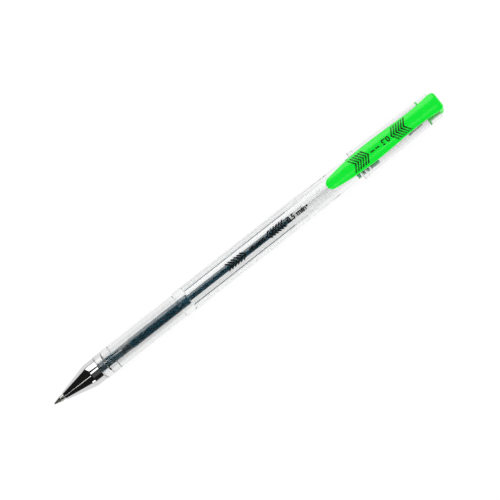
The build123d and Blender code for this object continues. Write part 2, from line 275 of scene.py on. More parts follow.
def lathe(outline, steps=96, edge_width=0.06, edge_angle=12):
    """Spins an outline of (station, radius) points about the axis. An outline that starts and
    ends on the axis isn't closed along it."""
    bm = bmesh.new()
    points = [bm.verts.new((station, 0, radius)) for station, radius in outline]
    on_axis = outline[0][1] == 0 and outline[-1][1] == 0
    pairs = list(zip(points, points[1:]))
    if not on_axis:
        pairs.append((points[-1], points[0]))
    edges = [bm.edges.new(pair) for pair in pairs]
    bmesh.ops.spin(
        bm,
        geom=points + edges,
        cent=(0, 0, 0),
        axis=(1, 0, 0),
        dvec=(0, 0, 0),
        angle=2 * math.pi,
        steps=steps,
        use_merge=True,
        use_duplicate=False,
    )
    bmesh.ops.remove_doubles(bm, verts=bm.verts, dist=0.0005)
    bmesh.ops.recalc_face_normals(bm, faces=bm.faces)
    if edge_width:
        bevel(bm, ring_edges(bm, edge_angle), edge_width)
    return bm


def turned(name, outline, **options):
    """A turned piece as an object."""
    return finished(lathe(outline, **options), name)


def hollow(station, depth, radius, steps=6):
    """Points of a meniscus: a dish whose rim is at a station and whose middle lies deeper."""
    points = []
    for step in range(steps + 1):
        turn = step / steps * math.pi / 2
        points.append((station - depth * math.cos(turn), radius * math.sin(turn)))
    return points


def settle(piece, body, slot, material, *nodes):
    """Gives a piece its material and its body, and hides the nodes that it stands for. The slot is
    not used.
    """
    piece.data.materials.append(material)
    if body:
        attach(piece, body)
    if nodes:
        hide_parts(*nodes)
    return piece


# ---------------------------------------------------------------- material tools
class Finish:
    """A procedural material whose patterns follow the object's own coordinates."""

    def __init__(self, name, **constants):
        self.material = bpy.data.materials.new(name)
        self.material.use_nodes = True
        self.tree = self.material.node_tree
        self.shader = self.tree.nodes["Principled BSDF"]
        self.coordinates = self.tree.nodes.new("ShaderNodeTexCoord").outputs["Object"]
        for socket, value in constants.items():
            self.shader.inputs[socket.replace("_", " ")].default_value = value
        self.height = None

    def node(self, kind, **inputs):
        made = self.tree.nodes.new(kind)
        for socket, value in inputs.items():
            self.feed(made.inputs[socket.replace("_", " ")], value)
        return made

    def feed(self, socket, value):
        if isinstance(value, bpy.types.NodeSocket):
            self.tree.links.new(value, socket)
        else:
            socket.default_value = value

    def stretched(self, scale):
        """The object's coordinates, moved to the pen's axis and stretched."""
        mapping = self.node("ShaderNodeMapping", Vector=self.coordinates, Scale=scale)
        mapping.inputs["Location"].default_value = (0, 0, -AXIS_Z * scale[2])
        return mapping.outputs["Vector"]

    def noise(self, scale, detail=3.0, roughness=0.55):
        """Cloudy pattern with so many lumps a metre along X, Y and Z."""
        made = self.node("ShaderNodeTexNoise", Vector=self.stretched(scale), Scale=1.0)
        made.inputs["Detail"].default_value = detail
        made.inputs["Roughness"].default_value = roughness
        return made.outputs["Fac"]

    def between(self, value, low, high, to_low=0.0, to_high=1.0):
        """Maps a value from one range to another and clamps it."""
        made = self.node("ShaderNodeMapRange", Value=value)
        made.inputs["From Min"].default_value = low
        made.inputs["From Max"].default_value = high
        made.inputs["To Min"].default_value = to_low
        made.inputs["To Max"].default_value = to_high
        return made.outputs["Result"]

    def sum(self, a, b):
        made = self.node("ShaderNodeMath")
        made.operation = "ADD"
        self.feed(made.inputs[0], a)
        self.feed(made.inputs[1], b)
        return made.outputs["Value"]

    def blend_colours(self, share, first, second):
        made = self.node("ShaderNodeMix")
        made.data_type = "RGBA"
        self.feed(made.inputs[0], share)
        self.feed(made.inputs[6], first)
        self.feed(made.inputs[7], second)
        return made.outputs[2]

    def multiply_colours(self, first, second):
        made = self.node("ShaderNodeMix")
        made.data_type = "RGBA"
        made.blend_type = "MULTIPLY"
        made.inputs[0].default_value = 1.0
        self.feed(made.inputs[6], first)
        self.feed(made.inputs[7], second)
        return made.outputs[2]

    def colour(self, value):
        self.feed(self.shader.inputs["Base Color"], value)

    def roughness(self, value):
        self.feed(self.shader.inputs["Roughness"], value)

    def raise_by(self, value, depth, strength=1.0):
        """Adds relief of a depth in millimetres, on top of any relief it already has."""
        bump = self.node("ShaderNodeBump", Height=value)
        bump.inputs["Distance"].default_value = depth * MM
        bump.inputs["Strength"].default_value = strength
        if self.height:
            self.tree.links.new(self.height, bump.inputs["Normal"])
        self.height = bump.outputs["Normal"]
        self.feed(self.shader.inputs["Normal"], self.height)

    def scratches(self, along, across):
        """Thin bright streaks: 1 in a scratch and 0 elsewhere."""
        streaks = self.noise((along, across, across), detail=4.0, roughness=0.7)
        return self.between(streaks, 0.66, 0.72)


def clear_plastic(name, tint, smoky_tint, smoky_end, haze):
    """Clear moulded styrene: faint flow lines along the pen, hair scratches and a slight haze.
    It is a little smokier in front of a station."""
    made = Finish(name, Transmission_Weight=1.0, IOR=1.59, Specular_IOR_Level=0.5)
    cloud = made.noise((60, 400, 400), detail=2.0)
    flow = made.blend_colours(cloud, (1, 1, 1, 1), (0.99, 0.99, 0.99, 1))
    along = made.node("ShaderNodeSeparateXYZ", Vector=made.coordinates).outputs["X"]
    bend = place(smoky_end).x
    share = made.between(along, bend - 3 * MM, bend + 3 * MM)
    body = made.blend_colours(share, smoky_tint, tint)
    made.colour(made.multiply_colours(body, flow))
    worn = made.scratches(160, 5200)
    smudge = made.between(made.noise((60, 120, 120)), 0.5, 0.8, 0.0, haze)
    made.roughness(made.sum(smudge, made.between(worn, 0, 1, 0, 0.03)))
    made.raise_by(made.noise((20, 400, 400), detail=1.0), 0.004, 0.2)
    return made.material


def polished_chrome():
    """Plated nose: bright, with polishing lines round it and fine rub marks."""
    made = Finish("plated nose chrome", Metallic=1.0)
    cloud = made.noise((180, 180, 180))
    made.colour(made.blend_colours(cloud, (0.60, 0.60, 0.61, 1), (0.67, 0.67, 0.68, 1)))
    lines = made.noise((9000, 60, 60), detail=2.0)
    rub = made.between(made.scratches(900, 3800), 0, 1, 0, 0.12)
    made.roughness(made.sum(made.between(lines, 0.3, 0.7, 0.035, 0.085), rub))
    made.raise_by(lines, 0.0015, 0.4)
    return made.material


def turned_steel():
    """Turned point: tool marks round it and a duller, streaked tone."""
    made = Finish("turned point steel", Metallic=1.0)
    marks = made.noise((16000, 120, 120), detail=3.0)
    cloud = made.noise((700, 1500, 1500))
    made.colour(made.blend_colours(cloud, (0.42, 0.41, 0.39, 1), (0.66, 0.65, 0.62, 1)))
    made.roughness(made.between(marks, 0.3, 0.7, 0.16, 0.34))
    made.raise_by(marks, 0.006, 0.6)
    return made.material


def carbide():
    """Ground carbide ball with a film of ink in its pores."""
    made = Finish("ground carbide", Metallic=1.0)
    pores = made.noise((14000, 14000, 14000), detail=4.0)
    film = made.between(pores, 0.5, 0.62)
    made.colour(made.blend_colours(film, (0.34, 0.34, 0.36, 1), (0.03, 0.07, 0.09, 1)))
    made.roughness(made.between(pores, 0.3, 0.7, 0.12, 0.3))
    made.raise_by(pores, 0.001, 0.5)
    return made.material


def milky_plastic():
    """Unpigmented polypropylene of the tip holder, slightly milky."""
    made = Finish("milky holder plastic", Transmission_Weight=0.92, IOR=1.49)
    cloud = made.noise((500, 900, 900))
    made.colour(made.blend_colours(cloud, (0.86, 0.91, 0.92, 1), (0.93, 0.96, 0.96, 1)))
    made.roughness(made.between(cloud, 0.3, 0.7, 0.06, 0.14))
    made.raise_by(made.noise((2500, 2500, 2500)), 0.004, 0.3)
    return made.material


def tube_plastic():
    """Drawn polypropylene tube: long draw lines and a faint milkiness."""
    made = Finish("drawn refill tube", Transmission_Weight=0.97, IOR=1.49)
    draw = made.noise((25, 2600, 2600), detail=2.0)
    made.colour(made.blend_colours(draw, (0.975, 0.98, 0.98, 1), (0.99, 0.99, 0.99, 1)))
    made.roughness(made.between(draw, 0.3, 0.7, 0.03, 0.09))
    made.raise_by(draw, 0.004, 0.4)
    return made.material


def gel():
    """Dark teal-black gel: a thick film that clings unevenly to the wall of the tube."""
    made = Finish("dark teal gel ink", Specular_IOR_Level=0.0, IOR=1.5)
    cling = made.noise((90, 1300, 1300), detail=5.0, roughness=0.65)
    made.colour(made.blend_colours(cling, (0.004, 0.092, 0.150, 1), (0.009, 0.120, 0.185, 1)))
    made.roughness(made.between(cling, 0.3, 0.7, 0.35, 0.5))
    made.raise_by(cling, 0.002, 0.2)
    return made.material


def grease():
    """Clear follower grease with small streaks of ink behind it."""
    made = Finish("clear follower grease", Transmission_Weight=0.95, IOR=1.47)
    swirl = made.noise((500, 1100, 1100), detail=5.0, roughness=0.7)
    made.colour(made.blend_colours(swirl, (0.95, 0.96, 0.92, 1), (0.86, 0.90, 0.88, 1)))
    made.roughness(made.between(swirl, 0.3, 0.7, 0.04, 0.16))
    made.raise_by(swirl, 0.02, 0.4)
    return made.material


def green_plastic():
    """Bright green translucent moulding with a satin skin and sink marks."""
    made = Finish("bright green moulding", Transmission_Weight=0.12, IOR=1.49)
    flow = made.noise((55, 260, 260), detail=2.0)
    made.colour(made.blend_colours(flow, (0.0, 0.93, 0.032, 1), (0.0, 0.98, 0.045, 1)))
    grain = made.noise((3200, 3200, 3200), detail=3.0)
    worn = made.between(made.scratches(400, 3000), 0, 1, 0, 0.08)
    made.roughness(made.sum(made.between(grain, 0.3, 0.7, 0.14, 0.2), worn))
    made.raise_by(grain, 0.0015, 0.3)
    made.raise_by(flow, 0.03, 0.3)
    return made.material


def green_plastic_painted_shade():
    """The same green plastic, pressed into the barrel, with painted shade darkening its colour."""
    made = Finish("green plug with painted shade", IOR=1.49)
    flow = made.noise((260, 500, 500), detail=3.0)
    # painted shade: the plug's bright green is darkened to stand for the shade inside the barrel
    # and cap; the flow noise only varies its tone
    made.colour(made.blend_colours(flow, (0.0, 0.42, 0.13, 1), (0.0, 0.60, 0.18, 1)))
    made.roughness(made.between(flow, 0.3, 0.7, 0.25, 0.4))
    made.raise_by(made.noise((1800, 1800, 1800)), 0.006, 0.4)
    return made.material


def seal_plastic():
    """Soft translucent seal."""
    made = Finish("soft seal", Transmission_Weight=0.35, IOR=1.46)
    cloud = made.noise((700, 700, 700))
    made.colour(made.blend_colours(cloud, (0.74, 0.90, 0.70, 1), (0.82, 0.95, 0.78, 1)))
    made.roughness(made.between(cloud, 0.3, 0.7, 0.3, 0.5))
    made.raise_by(made.noise((2600, 2600, 2600)), 0.005, 0.5)
    return made.material


def print_ink(name, thin, thick):
    """Pad-printed ink: slightly uneven cover."""
    made = Finish(name, Specular_IOR_Level=0.3)
    cover = made.noise((5200, 5200, 5200), detail=4.0, roughness=0.7)
    made.colour(made.blend_colours(made.between(cover, 0.42, 0.68), thick, thin))
    made.roughness(made.between(cover, 0.3, 0.7, 0.35, 0.6))
    made.raise_by(cover, 0.004, 0.5)
    return made.material


# ---------------------------------------------------------------- refill
def build_point(steel, ball_metal):
    """Steel point: writing cone, a fine groove, the shank inside the holder, and the ball."""
    outline = [
        (SHANK_END, POINT_CHANNEL_RADIUS),
        (POINT_CHANNEL_START, POINT_CHANNEL_RADIUS),
        (POINT_DUCT_START, POINT_DUCT_RADIUS),
        (SEAT_END, POINT_DUCT_RADIUS),
        (SEAT_END, SEAT_RADIUS),
        (BALL_PROUD + 0.06, 0.262),
        (BALL_PROUD, RIM_RADIUS - 0.03),
        (BALL_PROUD + 0.03, RIM_RADIUS),
        (POINT_CONE_END, POINT_RADIUS - 0.04),
        (POINT_CONE_END + 0.25, POINT_RADIUS),
        (POINT_SHOULDER, POINT_RADIUS),
        (POINT_SHOULDER, SHANK_RADIUS),
        (SHANK_END, SHANK_RADIUS),
    ]
    point = turned("steel_point", outline, steps=72, edge_width=0.03)
    settle(point, "pen_barrel", "tip_steel", steel, "tip_body")

    arc = []
    for step in range(17):
        turn = step / 16 * math.pi
        arc.append((BALL_RADIUS * (1 - math.cos(turn)), BALL_RADIUS * math.sin(turn)))
    arc[0] = (0.0, 0)
    arc[-1] = (2 * BALL_RADIUS, 0)
    ball = turned("point_ball", arc, steps=32, edge_width=0)
    settle(ball, "ball", "ball_carbide", ball_metal, "writing_ball")


def build_holder(plastic):
    """Holder between the steel point and the tube: a flange, a ribbed stem and a spigot."""
    gap = 0.1
    outline = [
        (SHANK_END + AIR, SHANK_RADIUS + AIR),
        (HOLDER_START + AIR, SHANK_RADIUS + AIR),
        (HOLDER_START + AIR, HOLDER_FRONT_RADIUS),
        (NOSE_STEP + gap, HOLDER_FRONT_RADIUS),
        (NOSE_STEP + gap, HOLDER_FLANGE_RADIUS),
        (BARREL_FRONT - gap, HOLDER_FLANGE_RADIUS),
        (BARREL_FRONT - gap, HOLDER_RADIUS),
    ]
    for station in HOLDER_RIB_STATIONS:
        outline += [
            (station - HOLDER_RIB_WIDTH / 2, HOLDER_RADIUS),
            (station - HOLDER_RIB_WIDTH / 2, HOLDER_RIB_RADIUS),
            (station + HOLDER_RIB_WIDTH / 2, HOLDER_RIB_RADIUS),
            (station + HOLDER_RIB_WIDTH / 2, HOLDER_RADIUS),
        ]
    outline.pop()
    outline += [
        (TUBE_START - AIR, TUBE_BORE_RADIUS + CONTACT),
        (HOLDER_END, TUBE_BORE_RADIUS + CONTACT),
        (HOLDER_END, HOLDER_CHANNEL_RADIUS),
        (SHANK_END + AIR, HOLDER_CHANNEL_RADIUS),
    ]
    holder = turned("tip_holder_stem", outline, steps=72, edge_width=0.05)
    settle(holder, "pen_barrel", "natural_plastic", plastic, "tip_holder")


def build_refill(tube_finish, ink_finish, grease_finish):
    """Tube, the ink that wets its wall, and the grease behind the ink."""
    tube_outline = [
        (TUBE_START, TUBE_BORE_RADIUS),
        (TUBE_START, TUBE_RADIUS),
        (TUBE_END, TUBE_RADIUS),
        (TUBE_END, TUBE_BORE_RADIUS),
    ]
    tube = turned("refill_tube_drawn", tube_outline, edge_width=0.08)
    settle(tube, "pen_barrel", "tube_plastic", tube_finish, "refill_tube")

    wet = TUBE_BORE_RADIUS + CONTACT
    channel = HOLDER_CHANNEL_RADIUS + CONTACT
    ink_outline = [
        (INK_START + 2 * AIR, 0),
        (INK_START + 2 * AIR, channel),
        (HOLDER_END + AIR, channel),
        (HOLDER_END + AIR, wet),
    ]
    ink_outline += reversed(hollow(INK_END, MENISCUS_DEPTH, wet))
    ink = turned("gel_ink_column", ink_outline, edge_width=0)
    settle(ink, "pen_barrel", "ink", ink_finish, "gel_ink")

    grease_outline = [(s + AIR, r) for s, r in hollow(INK_END, MENISCUS_DEPTH, wet)]
    grease_outline += reversed(hollow(FOLLOWER_END, MENISCUS_DEPTH, wet))
    follower = turned("follower_grease_slug", grease_outline, edge_width=0)
    settle(follower, "pen_barrel", "follower_grease", grease_finish, "ink_follower")


# ---------------------------------------------------------------- nose cone
def nose_shoulder(steps=10):
    """The soft bend where the cone runs into the cylinder, as part of a circle."""
    slope = math.atan2(NOSE_RADIUS - NOSE_MOUTH_RADIUS, NOSE_CORNER - NOSE_MOUTH)
    bend = NOSE_SHOULDER_REACH / math.tan(slope / 2)
    points = []
    for step in range(steps + 1):
        turn = slope * (1 - step / steps)
        station = NOSE_CORNER + NOSE_SHOULDER_REACH - bend * math.sin(turn)
        points.append((station, NOSE_RADIUS - bend * (1 - math.cos(turn))))
    return points


def build_nose(chrome):
    """Plated nose: a cone with a soft shoulder, and a stepped bore that takes the point."""
    outline = [(NOSE_MOUTH, NOSE_BORE_RADIUS), (NOSE_MOUTH, NOSE_MOUTH_RADIUS)]
    outline += nose_shoulder()
    outline += [
        (NOSE_END, NOSE_RADIUS),
        (NOSE_END, NOSE_THREAD_RADIUS),
        (NOSE_THREAD_START, NOSE_THREAD_RADIUS),
        (NOSE_THREAD_START, NOSE_CAVITY_RADIUS),
        (NOSE_STEP, NOSE_CAVITY_RADIUS),
        (NOSE_STEP, NOSE_STEP_RADIUS),
        (NOSE_BORE_END, NOSE_STEP_RADIUS),
        (NOSE_BORE_END, NOSE_BORE_RADIUS),
    ]
    nose = turned("nose_cone_plated", outline, steps=128, edge_width=0.16, edge_angle=8)
    settle(nose, "nose", "nose_chrome", chrome, "nose_cone")


# ---------------------------------------------------------------- barrel
def flat_distance(angle):
    """Radius of the rounded hexagon at an angle from one of its flats' middles."""
    turn = (angle + HEX_ROLL + math.pi / 6) % (math.pi / 3) - math.pi / 6
    corner = math.pi / 6
    centre = (HEX_FLAT_RADIUS - HEX_CORNER_FILLET) / math.cos(corner)
    if abs(turn) <= math.atan(centre * math.sin(corner) / HEX_FLAT_RADIUS):
        return HEX_FLAT_RADIUS / math.cos(turn)
    off = corner - abs(turn)
    lift = HEX_CORNER_FILLET**2 - (centre * math.sin(off)) ** 2
    return centre * math.cos(off) + math.sqrt(lift)


def press_flats(bm):
    """Presses the hexagon's flats into the turned bar, between the collar and the tail."""
    for vert in bm.verts:
        radius = math.hypot(vert.co.y, vert.co.z)
        if vert.co.x < COLLAR_GROOVE - 0.01 or radius < TAIL_RADIUS:
            continue
        limit = flat_distance(math.atan2(vert.co.y, vert.co.z))
        if radius > limit:
            vert.co.y *= limit / radius
            vert.co.z *= limit / radius


def taper(first, last, count):
    """Evenly spaced points between two outline points, ends left out."""
    (s0, r0), (s1, r1) = first, last
    points = []
    for step in range(1, count):
        share = step / count
        points.append((s0 + (s1 - s0) * share, r0 + (r1 - r0) * share))
    return points


def build_barrel(plastic):
    """Clear barrel: thread spigot, round grip, collar, hexagonal body and round tail."""
    corner = HEX_FLAT_RADIUS / math.cos(math.pi / 6)
    groove = (COLLAR_GROOVE, COLLAR_GROOVE_RADIUS)
    full = (HEX_FULL_START, corner)
    tail_cone = (HEX_FULL_END, corner)
    tail = (TAIL_START, TAIL_RADIUS)
    outline = [
        (BARREL_FRONT, FRONT_BORE_RADIUS),
        (BARREL_FRONT, SPIGOT_RADIUS),
        (GRIP_START, SPIGOT_RADIUS),
        (GRIP_START, GRIP_RADIUS),
        (GRIP_END, GRIP_RADIUS),
        (COLLAR_START, COLLAR_RADIUS),
        (COLLAR_END, COLLAR_RADIUS),
        groove,
    ]
    outline += taper(groove, full, 8)
    outline += [full, tail_cone]
    outline += taper(tail_cone, tail, 24)
    outline += [
        tail,
        (BARREL_END, TAIL_RADIUS),
        (BARREL_END, BORE_RADIUS),
        (BORE_STEP_END + BORE_RADIUS - BORE_STEP_RADIUS, BORE_RADIUS),
        (BORE_STEP_END, BORE_STEP_RADIUS),
        (BORE_STEP_START, BORE_STEP_RADIUS),
        (FRONT_BORE_END, FRONT_BORE_RADIUS),
    ]
    bm = lathe(outline, steps=144, edge_width=0.12)
    press_flats(bm)
    barrel = finished(bm, "clear_barrel")
    settle(barrel, "pen_barrel", "clear_plastic", plastic, "barrel")


def build_plug(plastic):
    """Ringed plug pressed into the tail of the barrel, with a vent."""
    outline = [(PLUG_START, VENT_RADIUS)]
    for ring in range(PLUG_RING_COUNT):
        station = PLUG_START + ring * PLUG_RING_SPACING
        outline += [
            (station, PLUG_BODY_RADIUS),
            (station + 0.1, BORE_RADIUS + CONTACT),
            (station + PLUG_RING_WIDTH, BORE_RADIUS + CONTACT),
            (station + PLUG_RING_WIDTH, PLUG_BODY_RADIUS),
        ]
    outline += [
        (BARREL_END + AIR, PLUG_BODY_RADIUS),
        (BARREL_END + AIR, TAIL_RADIUS),
        (PLUG_END, TAIL_RADIUS),
        (PLUG_END, VENT_RADIUS),
    ]
    plug = turned("tail_plug_ringed", outline, edge_width=0.1)
    settle(plug, "pen_barrel", "green_plastic", plastic, "barrel_end_plug")


# ---------------------------------------------------------------- cap
def build_cap(plastic):
    """Clear cap: a lip at its mouth, a slight taper and a seat for the crown."""
    lead_in = 0.3
    outline = [
        (CAP_MOUTH + lead_in, CAP_BORE_RADIUS),
        (CAP_MOUTH, CAP_BORE_RADIUS + lead_in),
        (CAP_MOUTH, LIP_RADIUS),
        (LIP_END, LIP_RADIUS),
        (LIP_END + 0.15, CAP_MOUTH_RADIUS),
        (CAP_END, CAP_RADIUS),
        (CAP_END, CROWN_BORE_RADIUS),
        (CROWN_SEAT, CROWN_BORE_RADIUS),
        (CROWN_SEAT, CAP_BORE_RADIUS),
    ]
    cap = turned("clear_cap_tube", outline, steps=128, edge_width=0.15)
    settle(cap, "cap", "clear_plastic", plastic, "cap_tube")


def build_seal(plastic):
    """Soft stopper for the point, with a flared mouth."""
    outline = [
        (SEAL_END, 0),
        (SEAL_END, CROWN_SOCKET_RADIUS - AIR),
        (SEAL_BODY_END, CROWN_SOCKET_RADIUS - AIR),
        (SEAL_BODY_END, SEAL_BODY_RADIUS),
        (SEAL_FLANGE_END, SEAL_BODY_RADIUS),
        (SEAL_FLANGE_END, SEAL_RADIUS),
        (SEAL_START, SEAL_RADIUS),
        (SEAL_START, SEAL_MOUTH_RADIUS),
        SEAL_THROAT,
        (SEAL_POCKET_START, SEAL_POCKET_RADIUS),
        (SEAL_POCKET_END, SEAL_POCKET_RADIUS),
        (SEAL_POCKET_END, 0),
    ]
    seal = turned("point_seal", outline, steps=72, edge_width=0.12)
    settle(seal, "cap", "seal_rubber", plastic, "cap_seal")


# ---------------------------------------------------------------- green moulding
def arch_height(side):
    """Height above the axis of the crowned upper face of the clip."""
    drop = CLIP_ARCH_RADIUS - math.sqrt(CLIP_ARCH_RADIUS**2 - side**2)
    return CLIP_TOP - drop


def clip_section(half_width, tip_share=0.0):
    """Closed section of the clip as (side, up) points: flat below, crowned above, rounded at
    its upper edges. tip_share thins it evenly for the round end of the tip."""
    edge = min(CLIP_EDGE_RADIUS, half_width * 0.5)
    points = []
    for step in range(7):
        side = half_width - edge + edge * math.sin(step / 6 * math.pi / 2)
        crest = arch_height(half_width - edge)
        up = crest - edge * (1 - math.cos(step / 6 * math.pi / 2))
        points.append((side, up))
    points.reverse()
    arch = [(side, arch_height(side)) for side in spaced(half_width - edge, -half_width + edge, 12)]
    left = [(-side, up) for side, up in reversed(points)]
    chamfer = CLIP_LOWER_EDGE
    lower = [(-half_width, CLIP_BOTTOM + chamfer), (-half_width + chamfer, CLIP_BOTTOM)]
    lower += [(half_width - chamfer, CLIP_BOTTOM), (half_width, CLIP_BOTTOM + chamfer)]
    section = points + arch + left + lower
    middle = (CLIP_TOP + CLIP_BOTTOM) / 2
    return [(side, up + (middle - up) * tip_share) for side, up in section]


def spaced(first, last, count):
    """Points strictly between two values."""
    return [first + (last - first) * step / count for step in range(1, count)]


def clip_half_width(station):
    """Half width of the clip behind its round tip: smooth through its neck, belly and waist."""
    knots = [
        (CLIP_TIP + CLIP_TIP_HALF_WIDTH, CLIP_TIP_HALF_WIDTH),
        (CLIP_NECK, CLIP_NECK_HALF_WIDTH),
        (CLIP_BELLY, CLIP_BELLY_HALF_WIDTH),
        (CLIP_WAIST, CLIP_WAIST_HALF_WIDTH),
        (CLIP_SPLIT, CLIP_SPLIT_HALF_WIDTH),
        (CAP_END, ROOT_HALF_WIDTH),
    ]
    slopes = [CLIP_TIP_SLOPE]
    for before, here, after in zip(knots, knots[1:], knots[2:]):
        slopes.append((after[1] - before[1]) / (after[0] - before[0]))
    slopes.append(0.0)
    for (s0, w0), (s1, w1), m0, m1 in zip(knots, knots[1:], slopes, slopes[1:]):
        if s0 <= station <= s1:
            span = s1 - s0
            t = (station - s0) / span
            start = (2 * t**3 - 3 * t**2 + 1) * w0 + (t**3 - 2 * t**2 + t) * span * m0
            return start + (3 * t**2 - 2 * t**3) * w1 + (t**3 - t**2) * span * m1
    return ROOT_HALF_WIDTH


def push_loop(bm, loop, shape):
    """Extrudes a loop of vertices and sets each new one to the next (x, y, z) of shape."""
    edges = [bm.edges.get((a, b)) for a, b in zip(loop, loop[1:] + loop[:1])]
    made = bmesh.ops.extrude_edge_only(bm, edges=edges)["geom"]
    fresh = [item for item in made if isinstance(item, bmesh.types.BMVert)]
    follow = []
    for vert in loop:
        follow.append(next(v for v in fresh if (v.co - vert.co).length < 1e-7))
    for vert, point in zip(follow, shape):
        vert.co = point
    return follow


def new_loop(bm, points):
    loop = [bm.verts.new(point) for point in points]
    for a, b in zip(loop, loop[1:] + loop[:1]):
        bm.edges.new((a, b))
    return loop


def circle_points(station, radius, count=64):
    turns = [2 * math.pi * step / count for step in range(count)]
    return [(station, radius * math.cos(turn), radius * math.sin(turn)) for turn in turns]


def dome_arc(radius, half_width, steps=48):
    """The part of a circle that lies below a root of a half width, from left to right, as
    (side, up) points."""
    start = math.acos(half_width / radius)
    sweep = math.pi + 2 * start
    turns = [math.pi - start + sweep * step / steps for step in range(steps + 1)]
    return [(radius * math.cos(turn), radius * math.sin(turn)) for turn in turns]


def crown_section(inset, root_inset):
    """Outline of the crown: the arch of the clip's root over a round dome, drawn in by the
    dome's inset and by the root's."""
    half_width = ROOT_HALF_WIDTH - root_inset
    arch = clip_section(half_width)
    upper = [(side, up - inset) for side, up in arch[:-4]]
    low = CLIP_BOTTOM + CLIP_LOWER_EDGE - inset
    dome = dome_arc(CROWN_RADIUS - inset, half_width)
    return upper + [(-half_width, low)] + dome + [(half_width, low)]


def build_moulding(plastic):
    """One green moulding: the crown with its plug, the hooked root and the long clip."""
    bm = bmesh.new()
    face = CAP_END + AIR
    # Clip: a section that is pushed forward from the crown to the round tip.
    root = new_loop(bm, [(face, side, up) for side, up in clip_section(ROOT_HALF_WIDTH)])
    # The sections lie closer together where the clip bends.
    stations = [166.0, 165.2, 164.4, 163.6, 162.8, 161.8, 160.6, 159.0]
    stations += [157.4 - 2.0 * step for step in range(18)]
    loop = root
    for station in stations:
        section = clip_section(clip_half_width(station))
        loop = push_loop(bm, loop, [(station, side, up) for side, up in section])
    bend = CLIP_TIP + CLIP_TIP_HALF_WIDTH
    for degrees in range(90, 14, -15):
        turn = math.radians(degrees)
        station = bend - CLIP_TIP_HALF_WIDTH * math.cos(turn)
        width = CLIP_TIP_HALF_WIDTH * math.sin(turn)
        thinning = 0.35 * (1 - math.sin(turn)) ** 2
        section = clip_section(width, thinning)
        loop = push_loop(bm, loop, [(station, side, up) for side, up in section])
    bm.faces.new(loop)
    # Crown: the arch above, straight sides, a half round below, and a rounded end.
    left_low, left_in, right_in, right_low = root[-4:]
    dome = dome_arc(CROWN_RADIUS, ROOT_HALF_WIDTH)
    under = [bm.verts.new((face, side, up)) for side, up in dome]
    outline = root[:-4] + [left_low] + under + [right_low]
    for a, b in zip(outline, outline[1:] + outline[:1]):
        if not bm.edges.get((a, b)):
            bm.edges.new((a, b))
    loop = outline
    for step in range(9):
        turn = math.pi / 2 * step / 8
        inset = CROWN_CORNER_RADIUS * (1 - math.cos(turn))
        root_inset = ROOT_CORNER_RADIUS * (1 - math.cos(turn))
        station = CROWN_END - CROWN_CORNER_RADIUS * (1 - math.sin(turn))
        section = crown_section(inset, root_inset)
        loop = push_loop(bm, loop, [(station, side, up) for side, up in section])
    bm.faces.new(loop)
    # Plug: from the back of the crown into the cap, with a lip that grips and a socket.
    back = [left_low] + under + [right_low, right_in, left_in]
    back_edges = [bm.edges.get((a, b)) for a, b in zip(back, back[1:] + back[:1])]
    seat = CROWN_SEAT + 0.6
    ring = new_loop(bm, circle_points(face, CROWN_PLUG_RADIUS))
    ring_around = [bm.edges.get((a, b)) for a, b in zip(ring, ring[1:] + ring[:1])]
    bmesh.ops.bridge_loops(bm, edges=back_edges + ring_around)
    for station, radius in (
        (seat, CROWN_PLUG_RADIUS),
        (seat, CROWN_BORE_RADIUS + CONTACT),
        (CROWN_SEAT + AIR, CROWN_BORE_RADIUS + CONTACT),
        (CROWN_SEAT + AIR, CROWN_SOCKET_RADIUS),
        (CROWN_SOCKET_END, CROWN_SOCKET_RADIUS),
    ):
        ring = push_loop(bm, ring, circle_points(station, radius))
    bm.faces.new(ring)
    add_pip(bm)
    moulding = finished(bm, "green_crown_and_clip", soft_angle=40)
    settle(moulding, None, "green_plastic", plastic, "cap_crown", "pocket_clip")
    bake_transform(moulding)


def add_pip(bm):
    """Rounded pip on the underside of the clip that keeps hold of a pocket's edge."""
    turn_down = Matrix.Translation((CLIP_PIP_STATION, 0, CLIP_BOTTOM))
    made = bmesh.ops.create_uvsphere(
        bm, u_segments=32, v_segments=16, radius=CLIP_PIP_RADIUS, matrix=turn_down
    )
    for vert in made["verts"]:
        vert.co.z = min(vert.co.z, CLIP_BOTTOM + CLIP_PIP_SUNK)


# ---------------------------------------------------------------- printed marks
PRINT_THICKNESS = 0.03
PRINT_LIFT = 0.001
BARREL_CHEVRON = {"depth": 1.55, "half_height": 1.5, "stroke": 0.74}
CLIP_CHEVRON = {"depth": 1.7, "half_height": 2.55, "stroke": 0.68}
CLIP_SLICE_SPACING = 0.4
WORDS = "0.5 mm"
CAPITAL_SHARE = 0.7


def chevron_outline(tip, depth, half_height, stroke):
    """A bent bar whose point is at a station: depth is negative for one that points back."""
    sign = math.copysign(1, depth)
    return [
        (tip, 0),
        (tip - depth, half_height),
        (tip - depth - sign * stroke, half_height),
        (tip - sign * stroke, 0),
        (tip - depth - sign * stroke, -half_height),
        (tip - depth, -half_height),
    ]


def slab(bm, outline, slices):
    """Thin slab over an outline of (station, side) points, cut along the pen so that it can
    follow a crowned face."""
    face = bm.faces.new([bm.verts.new((station, side, 0)) for station, side in outline])
    made = bmesh.ops.extrude_face_region(bm, geom=[face], use_keep_orig=True)["geom"]
    lifted = [item for item in made if isinstance(item, bmesh.types.BMVert)]
    bmesh.ops.translate(bm, verts=lifted, vec=(0, 0, PRINT_THICKNESS))
    for side in slices:
        geom = bm.verts[:] + bm.edges[:] + bm.faces[:]
        bmesh.ops.bisect_plane(bm, geom=geom, plane_co=(0, side, 0), plane_no=(0, 1, 0), dist=1e-5)


def chevrons(bm, first, last, count, style, sign=1, slices=()):
    """A row of bent bars between two stations. A sign of -1 turns them round."""
    for step in range(count):
        tip = first + (last - first) * step / (count - 1)
        part = bmesh.new()
        outline = chevron_outline(tip, sign * style["depth"], style["half_height"], style["stroke"])
        slab(part, outline, slices)
        add_mesh(bm, part)


